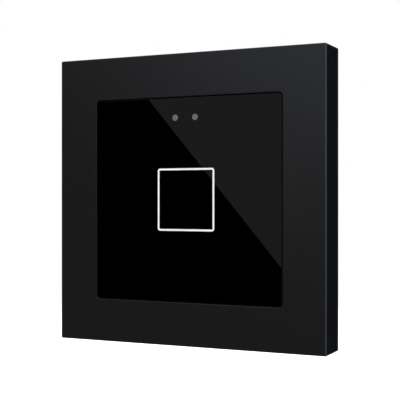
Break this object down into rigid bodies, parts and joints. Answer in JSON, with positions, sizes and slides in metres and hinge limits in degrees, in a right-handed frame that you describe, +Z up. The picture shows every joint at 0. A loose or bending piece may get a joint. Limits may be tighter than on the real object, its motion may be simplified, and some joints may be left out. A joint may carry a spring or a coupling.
{
  "type": "capacitive touch switch",
  "caption": "Square touch switch for a wall box: cover frame, gloss panel with a square ring icon, and a module that magnets hold on a steel plate.",
  "frame": {"origin": "centre of the wall plane: the middle of the mounting plate's back face", "axes": "+Z up, the touch panel faces -Y, +Y points into the wall, +X to the right seen from the front"},
  "size_m": [0.08, 0.0256, 0.08],
  "materials": {
    "frame_plastic": "satin black thermoplastic",
    "panel_gloss": "high gloss black acrylic",
    "guide_white": "white translucent acrylic",
    "lens_grey": "smoke grey clear plastic",
    "tray_plastic": "fine textured black",
    "reflector_white": "matt white",
    "boot_rubber": "matt black",
    "tape_foam": "double-sided foam tape",
    "zinc_steel": "zinc plated sheet steel",
    "screw_steel": "zinc plated",
    "nickel": "nickel plated",
    "spring_steel": "bright spring wire",
    "copper_foil": "bare copper foil",
    "contact_metal": "tin plated brass",
    "board_laminate": "green solder mask",
    "chip_resin": "moulded chip package",
    "chip_ceramic": "sintered ceramic",
    "can_aluminium": "drawn can",
    "led_resin": "clear resin over phosphor",
    "button_plastic": "light grey",
    "pipe_red": "clear red",
    "plug_red": "moulded red",
    "plug_grey": "moulded dark grey",
    "plug_pale": "moulded pale grey"
  },
  "bodies": {
    "mounting": {"mounting_plate": "zinc_steel"},
    "frame": {"cover_frame": "frame_plastic"},
    "module": {"front_panel": "panel_gloss", "touch_key": "panel_gloss", "icon_light_guide": "guide_white", "proximity_lens": "lens_grey", "light_sensor_lens": "lens_grey", "panel_adhesive": "tape_foam", "module_tray": "tray_plastic", "holding_magnets": "nickel", "light_box": "reflector_white", "sensor_boot": "boot_rubber", "touch_electrode": "copper_foil", "touch_spring": "spring_steel", "touch_board": "board_laminate", "icon_leds": "led_resin", "proximity_sensor": "chip_resin", "light_sensor": "led_resin", "touch_controller": "chip_resin", "temperature_sensor": "chip_ceramic", "board_header": "chip_resin", "board_socket": "chip_resin", "bus_board": "board_laminate", "microcontroller": "chip_resin", "quartz_crystal": "can_aluminium", "chip_capacitors": "chip_ceramic", "bus_inductor": "chip_resin", "bus_transceiver": "chip_resin", "bus_capacitors": "can_aluminium", "bus_pins": "contact_metal", "input_pins": "contact_metal", "switch_body": "chip_resin", "switch_dome": "spring_steel", "prog_led": "pipe_red", "prog_light_pipe": "pipe_red", "rear_housing": "tray_plastic", "housing_screws": "screw_steel"},
    "bus_plug": {"bus_plug_grey": "plug_grey", "bus_plug_red": "plug_red", "bus_plug_contacts": "contact_metal"},
    "input_plug": {"input_plug": "plug_pale", "input_plug_contacts": "contact_metal"},
    "prog_button": {"prog_button_cap": "button_plastic", "switch_plunger": "button_plastic"}
  },
  "joints": [
    {"name": "frame_pull", "type": "slide", "parent": "mounting", "child": "frame", "axis": [0, -1, 0], "range_m": [0, 0.02]},
    {"name": "module_pull", "type": "slide", "parent": "frame", "child": "module", "axis": [0, -1, 0], "range_m": [0, 0.03]},
    {"name": "bus_plug_pull", "type": "slide", "parent": "module", "child": "bus_plug", "axis": [0, 1, 0], "range_m": [0, 0.01]},
    {"name": "input_plug_pull", "type": "slide", "parent": "module", "child": "input_plug", "axis": [0, 1, 0], "range_m": [0, 0.01]},
    {"name": "prog_press", "type": "slide", "parent": "module", "child": "prog_button", "axis": [0, -1, 0], "range_m": [0, 0.00035], "stiffness_N_per_m": 800, "springref_m": -0.001}
  ]
}
